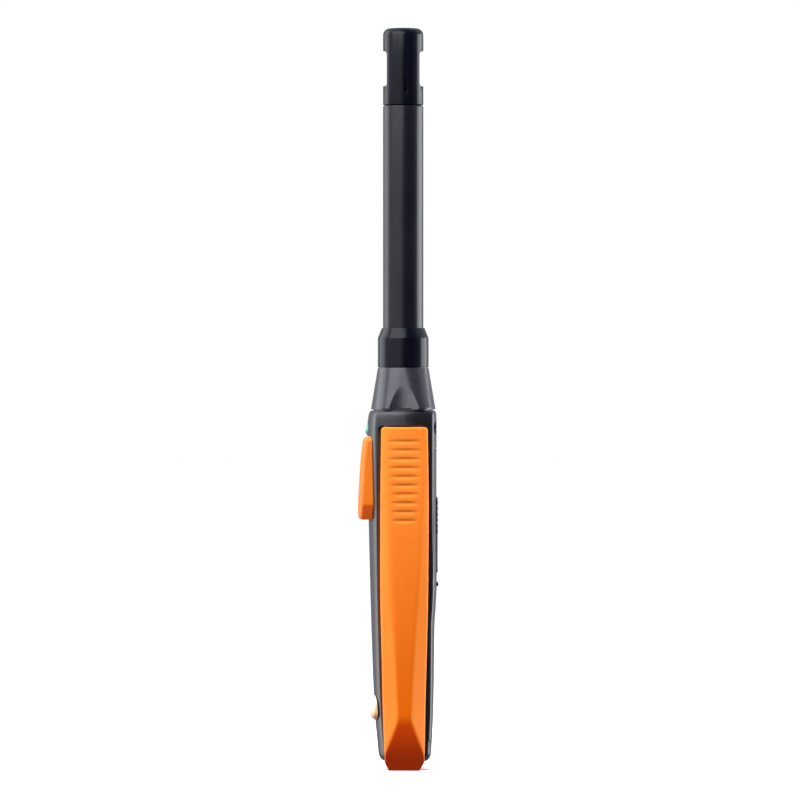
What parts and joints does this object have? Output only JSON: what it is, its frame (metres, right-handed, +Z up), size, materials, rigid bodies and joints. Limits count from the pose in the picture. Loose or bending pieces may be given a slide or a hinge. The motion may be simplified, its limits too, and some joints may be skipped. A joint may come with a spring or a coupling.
{
  "type": "stick thermo-hygrometer",
  "caption": "Pocket stick meter for air humidity and temperature: slotted sensor cap on a long tube, battery handle with side grips and one large push button.",
  "frame": {"origin": "middle of the flat foot, on the tube's axis", "axes": "+Z up along the tube, -X out of the button face, +X out of the battery cover, -Y and +Y out of the ribbed grips"},
  "size_m": [0.0264, 0.03, 0.243],
  "materials": {
    "shell_plastic": "fine-grained satin anthracite",
    "neck_plastic": "satin mid grey",
    "black_plastic": "glossy near-black",
    "grip_rubber": "soft-touch orange",
    "button_plastic": "satin orange",
    "clear_plastic": "clear, faintly green",
    "badge_plastic": "satin cream",
    "light_plastic": "natural nylon",
    "seal_rubber": "matte black",
    "tube_metal": "satin dark anodised",
    "board_laminate": "green solder mask",
    "plated_metal": "nickel plated",
    "screw_steel": "zinc plated",
    "cell_jacket": "printed film jacket, plain"
  },
  "bodies": {
    "housing": {"front_shell": "shell_plastic", "rear_shell": "shell_plastic", "grip_band": "grip_rubber", "led_window": "clear_plastic", "front_badge": "badge_plastic", "neck_cone": "neck_plastic", "collar_nut": "black_plastic", "tube_seal": "seal_rubber", "probe_tube": "tube_metal", "sensor_cap": "black_plastic", "sensor_board": "board_laminate", "humidity_sensor": "plated_metal", "sensor_lead": "seal_rubber", "lead_connector": "light_plastic", "main_board": "board_laminate", "radio_module": "plated_metal", "power_switch": "black_plastic", "status_led": "clear_plastic", "housing_screw_1": "screw_steel", "housing_screw_2": "screw_steel", "housing_screw_3": "screw_steel", "housing_screw_4": "screw_steel", "board_screw_1": "screw_steel", "board_screw_2": "screw_steel", "battery_tray": "black_plastic", "battery_1": "cell_jacket", "battery_2": "cell_jacket", "battery_3": "cell_jacket", "contact_plate_1": "plated_metal", "contact_plate_2": "plated_metal", "contact_bridge": "plated_metal", "contact_plate_3": "plated_metal", "contact_plate_4": "plated_metal", "contact_spring_1": "plated_metal", "contact_spring_2": "plated_metal", "contact_spring_3": "plated_metal"},
    "button": {"power_button": "button_plastic"},
    "plunger": {"switch_plunger": "light_plastic"},
    "cover": {"battery_cover": "shell_plastic"}
  },
  "joints": [
    {"name": "button_press", "type": "slide", "parent": "housing", "child": "button", "axis": [1, 0, 0], "range_m": [0, 0.0007], "stiffness_N_per_m": 1200, "springref_m": -0.0005},
    {"name": "plunger_travel", "type": "slide", "parent": "housing", "child": "plunger", "axis": [1, 0, 0], "range_m": [0, 0.0007]},
    {"name": "cover_tilt", "type": "hinge", "parent": "housing", "child": "cover", "pos_m": [0.0092, 0, 0.00855], "axis": [0, 1, 0], "range_deg": [0, 60]}
  ],
  "couplings": [
    {"joint": "plunger_travel", "follows": "button_press", "ratio": 1}
  ]
}
